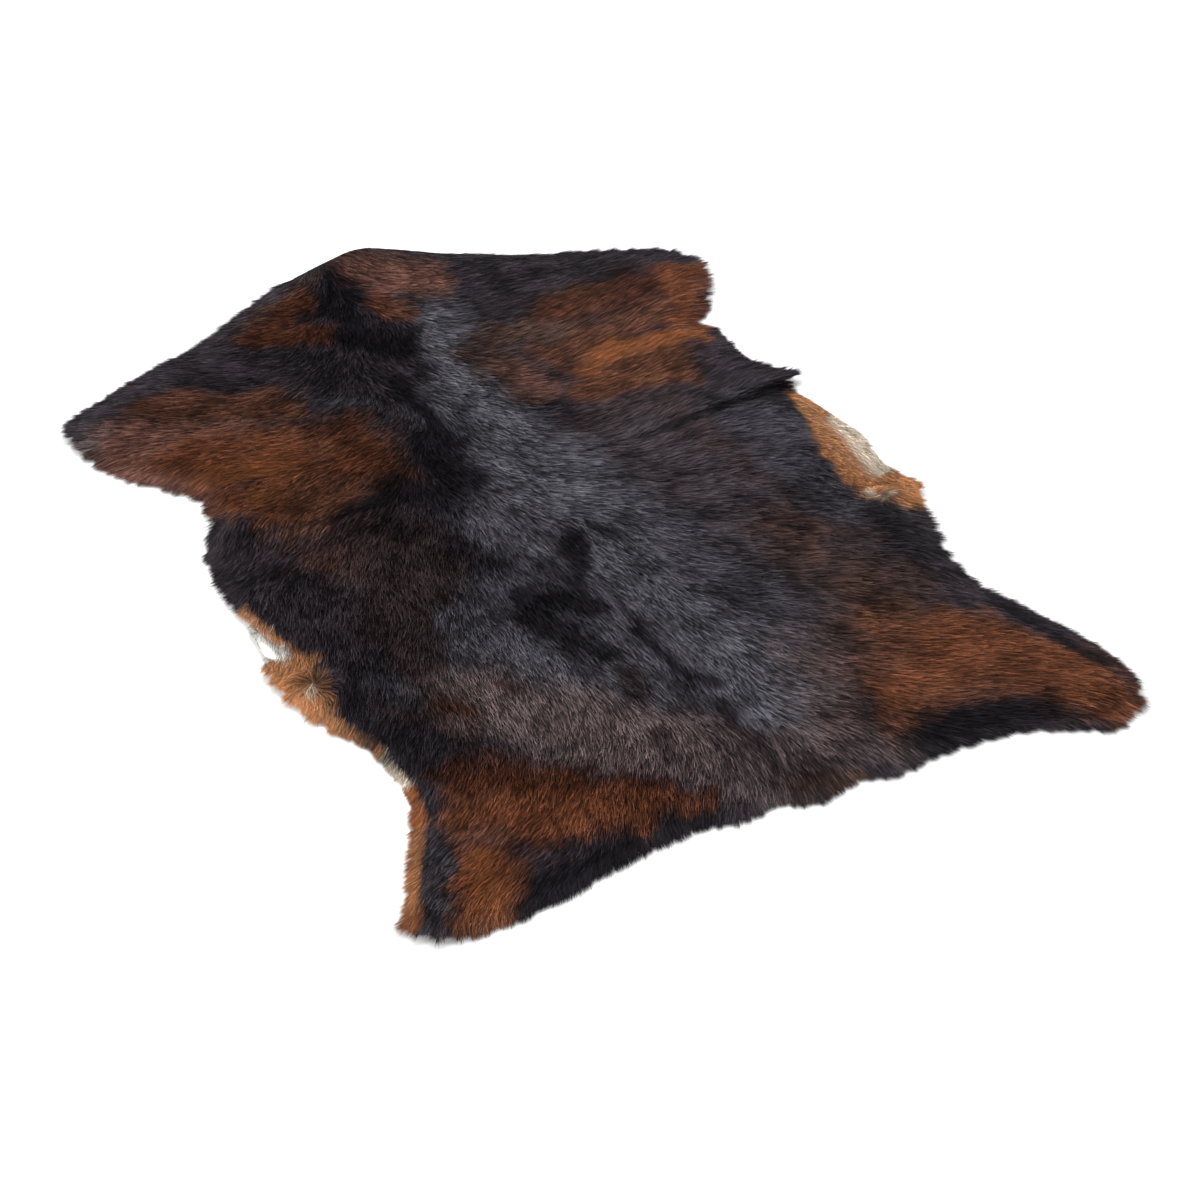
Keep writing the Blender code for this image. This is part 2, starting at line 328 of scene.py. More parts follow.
# Laid one over another, each along a line from one point to another, in millimetres. A share of a patch's
# cover may be broken up into mottles.
PATCHES = [
    Patch("right side", 140, 70, 220, -250, 70, "brown", 0.5, 0.6),
    Patch("right side, lower", 165, -120, 185, -240, 50, "brown", 0.5, 0.6),
    Patch("right hip", 55, -335, 180, -270, 58, "brown", 0.7, 0.3),
    Patch("left ribs", -230, 100, -155, 10, 50, "brown", 0.55, 0.4),
    Patch("left ribs, inner", -135, 80, -115, -45, 46, "umber", 0.9),
    Patch("left loin", -190, -65, -175, -170, 46, "umber", 0.85),
    Patch("shoulders", 5, 180, 35, 40, 56, "grey_sheen", 0.95),
    Patch("back", 35, 40, 55, -115, 66, "grey_sheen", 0.95),
    Patch("loin", 40, -110, 65, -240, 58, "grey_sheen", 0.9),
    Patch("croup", 55, -220, 60, -310, 46, "grey_sheen", 0.85),
    Patch("croup, right of the tail", 30, -295, 45, -355, 28, "grey_sheen", 0.7),
    Patch("left of the loin", -90, -70, -105, -165, 34, "faint_sheen", 0.8),
    Patch("nape", 58, 355, 28, 185, 34, "grey_sheen", 0.9),
    Patch("nape, brightest", 50, 330, 24, 120, 24, "bright_sheen", 0.7, 0.3),
    Patch("loin, brightest", 45, -235, 52, -320, 30, "bright_sheen", 0.7, 0.5),
    Patch("back, brightest", -10, 70, 30, 20, 26, "bright_sheen", 0.6, 0.4),
    Patch("left of the spine, shoulders", -50, 46, -38, -38, 26, "grey_sheen", 0.8),
    Patch("left of the spine, loin", -35, -60, -30, -250, 36, "grey_sheen", 0.8),
    Patch("right loin", 100, -90, 125, -215, 46, "faint_sheen", 0.7, 0.3),
    Patch("right ribs", 130, 60, 165, -65, 44, "faint_sheen", 0.6, 0.4),
    Patch("right belly", 245, 35, 255, -110, 46, "faint_sheen", 0.85),
    Patch("pale spots on the left loin", -130, -89, -143, -155, 22, "grey_sheen", 0.9, 0.7),
    Patch("pale left loin", -94, -146, -103, -233, 32, "grey_sheen", 0.9, 0.2),
    Patch("left buttock", -160, -195, -90, -275, 46, "taupe", 0.9),
    Patch("left buttock, inner", -100, -260, -40, -320, 40, "taupe", 0.8),
    Patch("croup, left of the tail", -40, -335, -10, -385, 34, "taupe", 0.6),
    Patch("right buttock", 35, -365, 105, -395, 30, "taupe", 0.6, 0.3),
    Patch("right buttock edge", 18, -405, 70, -419, 12, "brown", 0.8),
    Patch("right hip, inner", 108, -265, 97, -330, 40, "taupe", 0.4, 0.5),
    Patch("left flank", -215, -165, -185, -210, 26, "brown", 0.6, 0.5),
    Patch("left front leg, ground", -280, 258, -125, 165, 58, "chestnut", 0.85),
    Patch("left front leg, upper", -301, 287, -255, 262, 26, "dusty", 0.85),
    Patch("left front leg, upper, inner", -262, 284, -200, 260, 20, "dusty", 0.6),
    Patch("left front leg, upper side", -252, 318, -138, 262, 24, "chestnut", 0.75),
    Patch("left front leg, lower edge", -319, 248, -254, 184, 15, "dusty", 0.85),
    Patch("left front leg", -246, 230, -131, 173, 38, "russet", 0.9),
    Patch("left armpit", -244, 150, -203, 110, 26, "russet", 0.85),
    Patch("left armpit, inner", -205, 92, -145, 109, 26, "chestnut", 0.75),
    Patch("left shoulder, lower", -190, 138, -168, 134, 24, "chestnut", 0.9),
    Patch("behind the left armpit", -231, 42, -186, 37, 24, "mahogany", 0.5, 0.6),
    Patch("left shoulder", -111, 197, -100, 119, 30, "mahogany", 0.85),
    # Painted shade: a thin umber line on the left shoulder.
    Patch("left shoulder, painted shade", -134, 224, -142, 166, 9, "umber", 0.45),
    Patch("left front leg, brightest", -250, 190, -190, 190, 22, "orange", 0.55),
    Patch("left front leg, brightest, lower", -178, 178, -213, 137, 16, "orange", 0.4),
    Patch("left shoulder, front", -140, 205, -116, 182, 18, "chestnut", 0.7),
    Patch("left front tip", -330, 292, -307, 307, 16, "taupe", 0.6, 0.5),
    Patch("left front leg, upper edge", -304, 323, -242, 344, 12, "charcoal", 0.7),
    Patch("left shoulder, front edge", -251, 353, -153, 372, 20, "charcoal", 0.85),
    Patch("left shoulder, upper", -156, 356, -57, 319, 24, "charcoal", 0.9),
    Patch("left shoulder, sleek", -125, 268, -73, 226, 12, "faint_sheen", 0.7),
    Patch("neck, left", -106, 395, -58, 414, 22, "mahogany", 0.95),
    Patch("neck, left, lower", -126, 380, -62, 356, 18, "mahogany", 0.95),
    Patch("neck edge, left", -125, 407, -9, 453, 10, "brown", 0.5),
    Patch("neck, right", 13, 433, 73, 391, 30, "dusty", 0.95),
    Patch("neck, right, lower", 14, 387, 24, 350, 16, "russet", 0.6),
    Patch("nape, right", 48, 373, 70, 361, 14, "brown", 0.6),
    Patch("neck stripe", -12, 458, -30, 350, 21, "black", 0.8),
    Patch("neck stripe, lower", -38, 345, -6, 300, 25, "black", 0.95),
    Patch("right shoulder, inner", 53, 253, 84, 168, 26, "brown", 0.85),
    Patch("right shoulder, inner, pale", 70, 225, 92, 175, 14, "dusty", 0.5),
    Patch("right shoulder", 92, 271, 151, 259, 32, "brown", 0.85),
    Patch("right shoulder, middle", 120, 215, 235, 240, 26, "chestnut", 0.8),
    Patch("right front leg, ground", 145, 180, 246, 160, 26, "chestnut", 0.85),
    Patch("right front leg, upper side", 150, 300, 280, 300, 24, "umber", 0.8),
    Patch("right front leg", 167, 288, 280, 275, 28, "mahogany", 0.85),
    Patch("right front leg end", 305, 285, 270, 222, 24, "russet", 0.95),
    Patch("below the right streak", 130, 156, 214, 138, 22, "chestnut", 0.85),
    Patch("right shoulder streak", 128, 178, 172, 200, 12, "orange", 0.5),
    Patch("right shoulder streak, outer", 171, 199, 258, 186, 20, "orange", 1.0),
    Patch("right shoulder edge", 128, 404, 232, 354, 13, "charcoal", 0.9),
    Patch("right elbow", 260, 154, 290, 73, 28, "charcoal", 0.95),
    Patch("withers", -28, 247, -25, 130, 13, "black", 0.95),
    Patch("right of the withers", 22, 194, -20, 140, 10, "black", 0.5),
    Patch("withers, middle", -41, 150, -43, 82, 24, "black", 0.9),
    Patch("withers, lower", -101, 96, -64, 59, 26, "black", 0.8),
    Patch("left ribs, dark", -127, 83, -125, 33, 20, "black", 0.6, 0.4),
    Patch("left ribs, dark, outer", -189, 51, -143, 58, 18, "umber", 0.7, 0.4),
    Patch("mottles on the left ribs", -88, -3, -73, -42, 18, "black", 0.8, 0.4),
    Patch("mottles on the left side", -147, -3, -150, -63, 22, "umber", 0.8, 0.5),
    Patch("left side, dark", -169, -53, -195, -120, 26, "umber", 0.7, 0.4),
    Patch("left elbow", -264, 101, -246, -3, 36, "charcoal", 0.9),
    Patch("left belly", -261, 6, -243, -122, 40, "charcoal", 0.95),
    Patch("left flank, lower", -240, -137, -230, -251, 34, "black", 0.45),
    Patch("left flank, sleek", -224, -138, -210, -162, 18, "faint_sheen", 0.8, 0.3),
    Patch("blot on the back", 3, -43, -18, -103, 15, "black", 0.88),
    Patch("blot on the back, hook", 30, -33, 42, -53, 8, "black", 0.6),
    Patch("blot on the back, left", -33, -56, -29, -89, 13, "black", 0.7),
    Patch("blot on the loin", -58, -98, -22, -136, 18, "black", 0.9),
    Patch("blot on the loin, lower", -70, -122, -58, -148, 19, "black", 0.8),
    Patch("blot on the left loin", -65, -168, -38, -189, 18, "black", 0.75),
    Patch("mottle on the right loin", 68, -130, 77, -141, 9, "charcoal", 0.6),
    Patch("mottle on the right loin, lower", 82, -163, 98, -177, 10, "charcoal", 0.6),
    Patch("blot by the croup", -35, -224, -39, -253, 13, "umber", 0.85),
    Patch("blot left of the spine", -76, -7, -57, -49, 20, "black", 0.6, 0.4),
    Patch("parting, back", 4, -102, 3, -175, 4, "black", 0.6),
    Patch("parting, loin", -3, -178, 9, -250, 6, "black", 0.8),
    Patch("parting, croup", 15, -252, 22, -268, 9, "black", 0.8),
    Patch("parting, lower croup", 14, -290, 12, -321, 9, "black", 0.75),
    Patch("blot by the tail", -51, -305, -56, -326, 12, "umber", 0.8),
    Patch("tail root", 21, -345, 16, -379, 7, "black", 0.7),
    Patch("tail trough", 7, -388, 0, -420, 5, "umber", 0.9),
    Patch("spot on the left side", -190, -186, -171, -203, 9, "mahogany", 0.7),
    Patch("spot on the left side, inner", -136, -187, -122, -197, 7, "mahogany", 0.4),
    Patch("left thigh, ground", -212, -292, -110, -358, 40, "mahogany", 0.95),
    Patch("left rear leg, ground", -225, -320, -265, -420, 38, "chestnut", 0.95),
    Patch("left thigh", -213, -262, -144, -312, 24, "mahogany", 0.7, 0.4),
    Patch("left thigh, middle", -185, -322, -104, -360, 24, "russet", 0.9),
    Patch("left thigh, inner", -104, -358, -55, -382, 18, "mahogany", 0.9),
    Patch("left thigh, lower", -212, -330, -165, -352, 26, "russet", 0.9),
    Patch("left rear leg", -225, -330, -243, -378, 30, "russet", 0.95),
    Patch("left rear leg, lower", -252, -361, -263, -410, 24, "russet", 0.95),
    Patch("left rear leg, palest", -240, -333, -216, -350, 18, "dusty", 0.7),
    Patch("left rear leg, brightest", -240, -360, -264, -405, 16, "orange", 0.65),
    Patch("left rear leg end", -291, -424, -261, -424, 10, "chestnut", 0.7),
    Patch("left rear leg stripe", -247, -270, -268, -342, 14, "charcoal", 0.95),
    Patch("left rear leg stripe, lower", -268, -342, -301, -408, 13, "faint_sheen", 0.9),
    Patch("left rear tip", -299, -394, -303, -417, 8, "charcoal", 0.8),
    Patch("left buttock edge", -225, -423, -135, -408, 28, "black", 0.95),
    Patch("left buttock edge, inner", -130, -402, -66, -402, 17, "black", 0.9),
    Patch("right thigh, ground", 175, -330, 285, -395, 52, "chestnut", 0.8),
    Patch("right thigh", 190, -278, 229, -324, 32, "chestnut", 0.85),
    Patch("right rear leg, upper", 240, -290, 298, -385, 22, "chestnut", 0.85),
    Patch("right thigh, lower", 154, -350, 207, -338, 28, "russet", 0.85),
    Patch("right rear leg", 225, -318, 288, -405, 38, "russet", 0.9),
    Patch("right rear leg end", 290, -395, 306, -443, 30, "russet", 0.9),
    Patch("right thigh, lowest", 126, -377, 185, -372, 20, "chestnut", 0.75),
    Patch("right rear leg, lower edge", 150, -401, 246, -415, 24, "black", 0.95),
    Patch("right groin", 275, -194, 282, -270, 22, "charcoal", 0.95),
    Patch("right rear leg, upper edge", 291, -288, 326, -398, 9, "black", 0.9),
    Patch("right flank", 259, -137, 284, -200, 20, "black", 0.7),
    # Painted shadow: black along the foot of the right pleat, under its overhanging lip.
    Patch("painted shadow under the right pleat, inner", 80, 64, 141, 58, 3, "black", 0.2),
    Patch("painted shadow under the right pleat, middle", 141, 58, 214, 63, 3, "black", 0.5),
    Patch("painted shadow under the right pleat, outer", 214, 63, 306, 68, 4, "black", 0.85),
    # Painted shade: a thin black line along the crease of the left armpit.
    Patch("painted shade in the left armpit crease, outer", -264, 99, -169, 74, 5, "black", 0.7),
    Patch("painted shade in the left armpit crease, inner", -169, 74, -63, 80, 4, "black", 0.6),
    Patch("left flank tuft", -278, -72, -283, -140, 22, "ginger", 1.0),
    Patch("left flank tuft, outer", -296, -80, -293, -150, 16, "ginger", 1.0),
    Patch("left flank tuft, lower", -286, -150, -280, -170, 12, "ginger", 0.95),
    Patch("left groin edge, upper", -279, -175, -267, -214, 10, "ginger", 0.9),
    Patch("left groin edge", -264, -220, -254, -256, 6, "cream", 0.9),
    Patch("left groin edge, lower", -256, -264, -264, -300, 9, "orange", 0.9),
    Patch("left rear leg, outer edge", -266, -290, -316, -398, 10, "orange", 0.8),
    Patch("left rear leg, outer edge, pale", -274, -310, -312, -385, 9, "ginger", 0.6),
    Patch("right belly edge, upper", 300, 50, 290, -5, 11, "ginger", 1.0),
    Patch("right belly edge, middle", 289, -5, 281, -58, 13, "ginger", 1.0),
    Patch("right belly edge, inside the pale strip", 298, 15, 292, -95, 10, "ginger", 0.9),
    # Painted highlight: paler tan where the right belly edge catches the light.
    Patch("right belly edge, painted highlight", 296, 40, 284, -90, 9, "tan", 0.6),
    Patch("right belly edge, lower", 280, -68, 288, -104, 18, "ginger", 1.0),
    Patch("right flank tuft", 288, -108, 306, -130, 14, "ginger", 1.0),
    Patch("right flank tuft, outer", 302, -98, 322, -134, 14, "ginger", 1.0),
    Patch("right belly edge, beyond", 320, 0, 316, -84, 12, "cream", 1.0),
    Patch("right belly edge, outer", 311, 4, 303, -84, 10, "cream", 0.95),
    # Painted shade beside the right whorl's curl.
    Patch("right whorl, painted shade", 270, -98, 278, -109, 6, "chestnut", 0.5),
    Patch("right whorl", 277, -110, 292, -122, 7, "cream", 0.7),
    # Painted shade beside the left whorl's curl.
    Patch("left whorl, painted shade", -277, -100, -267, -116, 8, "chestnut", 0.55),
    Patch("left whorl", -274, -110, -278, -124, 6, "cream", 0.8),
    Patch("left whorl, centre", -273, -110, -275, -116, 3, "umber", 0.7),
    Patch("left belly edge", -300, -4, -289, -62, 16, "skin", 1.0),
    Patch("left belly edge, inner", -289, 2, -276, -50, 5, "ginger", 0.95),
]
PATCH_CORE = 0.35  # share of the breadth that is fully covered
PATCH_FADE = 1.3  # and the share where the patch ends

Waves = namedtuple("Waves", "lump reach seed")
# The borders between patches wander, in lumps of this size and by this much.
BORDER_WAVES = [Waves(36 * MM, 7 * MM, 1), Waves(14 * MM, 7 * MM, 2), Waves(6 * MM, 3.5 * MM, 3)]
SPINEWARD_SEEDS = 50  # added to each seed for the wander along the spine
STEADY_BREADTH = 6  # millimetres: patches up to this breadth keep their place
LOOSE_BREADTH = 18  # and those from this breadth on wander fully
LEAST_WANDER = 0.15
MOTTLE = 17 * MM
FINE_MOTTLE = MOTTLE / 2.5
MOTTLE_CONTRAST = 1.4


def soft_noise(x, y, size, seed):
    """Smooth noise from -1 to 1 with lumps of one size."""
    corners = np.random.default_rng(seed).uniform(-1, 1, (256, 256))
    u, v = x / size, y / size
    i, j = np.floor(u).astype(int), np.floor(v).astype(int)
    a, b = u - i, v - j
    a, b = a * a * (3 - 2 * a), b * b * (3 - 2 * b)
    near = corners[i % 256, j % 256] * (1 - a) + corners[(i + 1) % 256, j % 256] * a
    far = corners[i % 256, (j + 1) % 256] * (1 - a) + corners[(i + 1) % 256, (j + 1) % 256] * a
    return near * (1 - b) + far * b


def nearness(x, y, mark, reach):
    """Distance from points to a mark's line from x1, y1 to x2, y2, as a share of its reach."""
    start = np.array((mark.x1, mark.y1)) * MM
    along = np.array((mark.x2, mark.y2)) * MM - start
    t = np.clip(((x - start[0]) * along[0] + (y - start[1]) * along[1]) / (along @ along), 0, 1)
    return np.hypot(x - start[0] - along[0] * t, y - start[1] - along[1] * t) / (reach * MM)


def share_near(x, y, mark):
    """How far a mark's line rules points: fully within half its reach, not at all past one and a half."""
    return np.clip(1.5 - nearness(x, y, mark, mark.reach), 0, 1)


def coat_at(x, y):
    """The linear colour of the coat at points of the hide, with uneven borders between the patches."""
    warp_x, warp_y = 0, 0
    for waves in BORDER_WAVES:
        warp_x = warp_x + waves.reach * soft_noise(x, y, waves.lump, waves.seed)
        warp_y = warp_y + waves.reach * soft_noise(x, y, waves.lump, waves.seed + SPINEWARD_SEEDS)
    mottles = soft_noise(x + warp_x, y + 0.5 * warp_y, MOTTLE, 5) + 0.5 * soft_noise(x, y, FINE_MOTTLE, 6)
    mottles = np.clip(0.5 + MOTTLE_CONTRAST * mottles, 0, 1)
    colour = np.tile(np.array(hex_to_linear(COATS[BASE_COAT])[:3]), (len(x), 1))
    for patch in PATCHES:
        bend = (patch.breadth - STEADY_BREADTH) / (LOOSE_BREADTH - STEADY_BREADTH)
        bend = min(1.0, max(LEAST_WANDER, bend))
        off = nearness(x + bend * warp_x, y + bend * warp_y, patch, patch.breadth)
        fade = np.clip((PATCH_FADE - off) / (PATCH_FADE - PATCH_CORE), 0, 1)
        cover = (patch.cover * fade * fade * (3 - 2 * fade) * (1 - patch.broken * mottles))[:, None]
        colour = colour * (1 - cover) + np.array(hex_to_linear(COATS[patch.coat])[:3]) * cover
    return colour


# The skin. One goat hide tanned with its hair on, 1.4 mm thick: pale suede on the flesh side and at the
# cut edge, and on the grain side the colour of the hair at its roots, darkened as painted shade. It is
# trimmed by knife to the outline of the hide, which the hair overhangs wherever it grows outwards.
SKIN = 1.4 * MM
OFF_FLOOR = 0.2 * MM
SKIN_GRID = 9 * MM
CUT_BACK = 2 * MM  # from the outline to the skin, where the hair doesn't overhang
HAIR_OVERHANG = 7 * MM  # and that much more where it does
BARE_CUT_BACK = 0.2  # but only this share of both where the margin is all but bare
UNCROSSINGS = 6  # how often the cut is moved out again where it crosses itself

Margin = namedtuple("Margin", "where x1 y1 x2 y2 reach")
BARE_MARGINS = [
    Margin("left belly", -304, -4, -294, -64, 12),
    Margin("left groin", -264, -220, -254, -256, 8),
    Margin("right belly", 311, 4, 303, -84, 10),
]


def outward_normals(loop):
    ahead = np.roll(loop, -1, 0) - loop
    behind = loop - np.roll(loop, 1, 0)
    ahead /= np.linalg.norm(ahead, axis=1)[:, None]
    behind /= np.linalg.norm(behind, axis=1)[:, None]
    out = np.stack([(ahead + behind)[:, 1], -(ahead + behind)[:, 0]], 1)
    return out / np.linalg.norm(out, axis=1)[:, None]


normals = outward_normals(outline)
overhang = (normals * np.stack([at(comb_x, *outline.T), at(comb_y, *outline.T)], 1)).sum(1)
cut_back = CUT_BACK + HAIR_OVERHANG * np.clip(overhang, 0, 1)
for margin in BARE_MARGINS:
    cut_back *= 1 + (BARE_CUT_BACK - 1) * share_near(*outline.T, margin)
for _ in range(UNCROSSINGS):
    cut_edge = outline - normals * cut_back[:, None]
    sides = np.roll(cut_edge, -1, 0) - cut_edge
    crossed = (sides * (np.roll(outline, -1, 0) - outline)).sum(1) < 0
    cut_back = np.where(crossed | np.roll(crossed, 1), cut_back * 0.5, cut_back)
cut_edge = outline - normals * cut_back[:, None]

bm = bmesh.new()
bm.faces.new([bm.verts.new((x, y, 0)) for x, y in cut_edge])
for normal, start, end in (
    (Vector((1, 0, 0)), cut_edge[:, 0].min(), cut_edge[:, 0].max()),
    (Vector((0, 1, 0)), cut_edge[:, 1].min(), cut_edge[:, 1].max()),
):
    for slice_at in np.arange(start + SKIN_GRID, end, SKIN_GRID):
        everything = bm.verts[:] + bm.edges[:] + bm.faces[:]
        bmesh.ops.bisect_plane(bm, geom=everything, dist=1e-6, plane_co=normal * slice_at, plane_no=normal)
bmesh.ops.remove_doubles(bm, verts=bm.verts, dist=0.6 * MM)
bmesh.ops.dissolve_degenerate(bm, edges=bm.edges, dist=0.2 * MM)
for v in bm.verts:
    v.co.z = OFF_FLOOR + float(at(lift, np.array([v.co.x]), np.array([v.co.y]))[0])
flesh_faces = bm.faces[:]
extruded = bmesh.ops.extrude_face_region(bm, geom=flesh_faces, use_keep_orig=True)["geom"]
grain = [v for v in extruded if isinstance(v, bmesh.types.BMVert)]
bmesh.ops.translate(bm, verts=grain, vec=(0, 0, SKIN))
bmesh.ops.recalc_face_normals(bm, faces=bm.faces)
for f in bm.faces:
    f.material_index = 0 if f.normal.z > 0.3 else 1
    f.smooth = True
skin = object_from(bm, "tanned_skin")

# Painted shade: the grain side takes the hair's colour, darkened between the roots as if shaded by the pile.
PAINTED_ROOT_SHADE = 0.4  # the grain side is this dark between the roots
BARE_FROM = 0.4  # but not the bare belly, whose linear tone is above this
BARE_FULLY = 0.2  # and wholly bare this much above it
points = np.empty(len(skin.data.vertices) * 3, np.float32)
skin.data.vertices.foreach_get("co", points)
points = points.reshape(-1, 3)
seen = coat_at(points[:, 0], points[:, 1])
bare = np.clip((seen.mean(1) - BARE_FROM) / BARE_FULLY, 0, 1)[:, None]
seen = np.concatenate([seen * (PAINTED_ROOT_SHADE + (1 - PAINTED_ROOT_SHADE) * bare), np.ones((len(seen), 1))], 1)
grain_colour_and_shade = skin.data.attributes.new("coat", "FLOAT_COLOR", "POINT")
grain_colour_and_shade.data.foreach_set("color", seen.astype(np.float32).ravel())

SUEDE_HEX = "cdbfa6"
SUEDE_DARK_HEX = "a8977a"
SUEDE_NAP = 2.2 * MM  # the flesh side's nap, drawn coarser than real so that it shows
suede, tree = new_material("chamois suede flesh side")
# Buffed flesh side: matt, mottled cream and buff, with a fine nap.
place = add_node(tree, "ShaderNodeTexCoord").outputs["Object"]
mottle = add_node(tree, "ShaderNodeTexNoise", Vector=place, Scale=1 / (60 * MM), Detail=5.0, Roughness=0.6)
nap = add_node(tree, "ShaderNodeTexNoise", Vector=place, Scale=1 / SUEDE_NAP, Detail=3.0)
tone = add_node(
    tree, "ShaderNodeMix", {"data_type": "RGBA"},
    Factor=mottle.outputs[0], _6=hex_to_linear(SUEDE_DARK_HEX), _7=hex_to_linear(SUEDE_HEX),
)
rough = add_node(tree, "ShaderNodeBump", Height=nap.outputs[0], Strength=0.5, Distance=0.4 * MM)
shader = add_node(
    tree, "ShaderNodeBsdfPrincipled", Base_Color=tone.outputs[2], Roughness=0.92, Normal=rough.outputs[0],
    Sheen_Weight=0.2,
)
add_node(tree, "ShaderNodeOutputMaterial", Surface=shader.outputs[0])

grain_side, tree = new_material("grain side with the roots of the hair")
# Smooth leather in the colour of the hair above it, darkened as painted shade between the roots.
tint = add_node(tree, "ShaderNodeAttribute", {"attribute_name": "coat"})
shader = add_node(
    tree, "ShaderNodeBsdfPrincipled", Base_Color=tint.outputs["Color"], Roughness=0.8,
    Specular_IOR_Level=0.1,
)
add_node(tree, "ShaderNodeOutputMaterial", Surface=shader.outputs[0])
skin.data.materials.append(grain_side)
skin.data.materials.append(suede)
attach(skin, "root")
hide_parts("goatskin")


# The hair. Short, straight and glossy guard hair lies flat and tailward in small locks, so that only its
# last 12 mm shows. It grows all over the grain side and overhangs the cut edge in dark tufts, darkened in
# part as painted shade. Real hairs are far finer, so each modelled one stands for a few: a triangle that
# tapers from the root to the tip.
LOCKS = 272_000
EDGE_LOCKS = 46_000
HAIRS_IN_LOCK = 3
HAIR_LENGTH = 12 * MM
EDGE_LENGTH = 19 * MM
HAIR_BREADTH = 0.34 * MM  # at the root
EDGE_BREADTH = 0.6 * MM
# Painted shade: edge hair never reaches the full lightness of the tips.
EDGE_TIP = 0.7  # how far towards the pale tips the edge hair gets, hanging in its own shade
HAIR_SLOPE = 0.45  # how much of the pile's height a hair climbs from root to tip
TIP_CLEARANCE = 1 * MM  # tips have at least this much height to lie in, also past the thin rim
LOCK_ROOT = 0.5 * MM  # breadth over which a lock's hairs are rooted
LOCK_TIP = 0.2 * MM  # and over which they end
LOCK_STAGGER = 3 * MM  # how far apart along the lock they are rooted
EDGE_ROOTS = 6 * MM  # the edge locks are rooted this near the cut edge
LOCK_STRAY = 0.1  # radians that single locks turn aside
LOCK_ROLL = 0.3  # and roll over
HAIR_ROLL = 0.35  # and that a hair rolls within its lock
LOCK_LENGTHS = (0.8, 1.15)  # shares of the usual length
HAIR_ENDS = (0.85, 1.07)  # shares of its lock's length at which a hair ends
HAIR_BREADTHS = (0.6, 1.3)  # shares of the usual breadth
ROOTED_AT = 0.7  # share of the skin's thickness at which hair starts
LOWEST_LOCK = 0.6  # share of the pile's height at which the lowest locks end; the highest end at its top
LEAST_AT_LIP = 0.2  # share of its length that a lock keeps where it ends at a lip
LEAST_AT_EDGE = 0.3  # and where it ends past the outline
FUZZ = 2.5 * MM  # single hairs reach this far past the outline
RAGGED = 17 * MM  # and the longest tufts this far
BARED = 5 * MM  # the even hair ends this much further in where it hangs twice as ragged
TUFT = 5 * MM  # from one tuft to the next
TUFT_GATHER = 0.7  # how far towards the middle of its tuft an edge lock leans
TUFT_POINT = 1.3  # how sharply a tuft's hair shortens away from its middle
TURN_OUT = 0.6  # how far edge hair that lies along the edge turns outwards
TURN_OUT_MORE = 1.2  # and how much further where it already grows outwards
COLOUR_FROM = 0.65  # share of the length, from the root, where a lock takes its colour from the markings
COLOUR_STRAY = 0.15  # and how far that varies
# Painted shade: locks lower in the pile are painted darker than those on top.
PAINTED_DEPTH_SHADE = 0.3  # how much brighter a lock on top of the pile is than one at the skin
# Random tone and painted glints: locks and hairs differ in brightness.
CONTRAST = 0.36  # spread of brightness from lock to lock
HAIR_CONTRAST = 0.14  # and within a lock
EVEN_TONE = 0.65  # how much less of both there is in red and pale hair
RED_OR_PALE = 0.2  # linear red, less some of the blue, from which hair counts as such
TURN_WAVES = [Waves(45 * MM, 0.13, 21), Waves(14 * MM, 0.08, 22)]  # the lie wavers by so many radians
# Painted sheen: the hair's brightness wavers in lumps, as the sheen of lying hair does.
PAINTED_SHEEN_WAVES = [Waves(21 * MM, 0.22, 23), Waves(8 * MM, 0.12, 24)]  # and the brightness by so much
BANDS = ["neck", "shoulders", "ribs", "loin", "rump"]
ROOT_SEED = 11
HAIR_SEED = 40  # for the first band, and one more for each after it
EDGE_ROOT_SEED = 12
EDGE_HAIR_SEED = 70

Growth = namedtuple("Growth", "where x1 y1 x2 y2 reach length rise ragged")
# Where the hair is longer or shorter than elsewhere, stands up, or hangs further over the outline, as
# shares of what it does elsewhere.
GROWTHS = [
    Growth("left flank tuft", -284, -80, -279, -140, 26, 1.0, 1.3, 1.4),
    Growth("right flank tuft", 290, -100, 318, -140, 18, 0.8, 1.3, 2.1),
    Growth("right belly edge", 301, 48, 288, -83, 22, 0.6, 0.6, 0.1),
    Growth("left groin edge", -276, -180, -256, -260, 14, 0.6, 0.7, 0.3),
    Growth("left belly edge", -301, 2, -290, -60, 8, 0.3, 0.3, 0.1),
    Growth("left front tip", -332, 298, -318, 306, 18, 0.9, 1.0, 1.7),
    Growth("left armpit", -262, 190, -262, 125, 16, 1.2, 1.0, 2.2),
    Growth("left front leg, lower edge", -312, 262, -276, 205, 12, 1.0, 1.0, 1.6),
    Growth("neck, left edge", -126, 424, -133, 414, 5, 1.1, 1.0, 2.2),
    Growth("right front leg end", 312, 330, 304, 230, 12, 1.1, 1.0, 1.7),
    Growth("right front leg, upper edge", 215, 365, 300, 345, 12, 1.0, 1.0, 1.4),
    Growth("below the right flank tuft", 298, -175, 288, -290, 14, 1.15, 1.2, 1.8),
    Growth("left rear tip", -305, -400, -312, -418, 14, 1.1, 0.8, 1.6),
    Growth("left rear leg, outer edge", -272, -300, -298, -365, 10, 0.8, 1.0, 1.5),
    Growth("left elbow", -290, 95, -290, 30, 14, 1.0, 1.0, 1.4),
    Growth("right rear leg", 240, -455, 315, -425, 14, 1.0, 1.0, 1.4),
]


Lip = namedtuple("Lip", "where x1 y1 x2 y2")
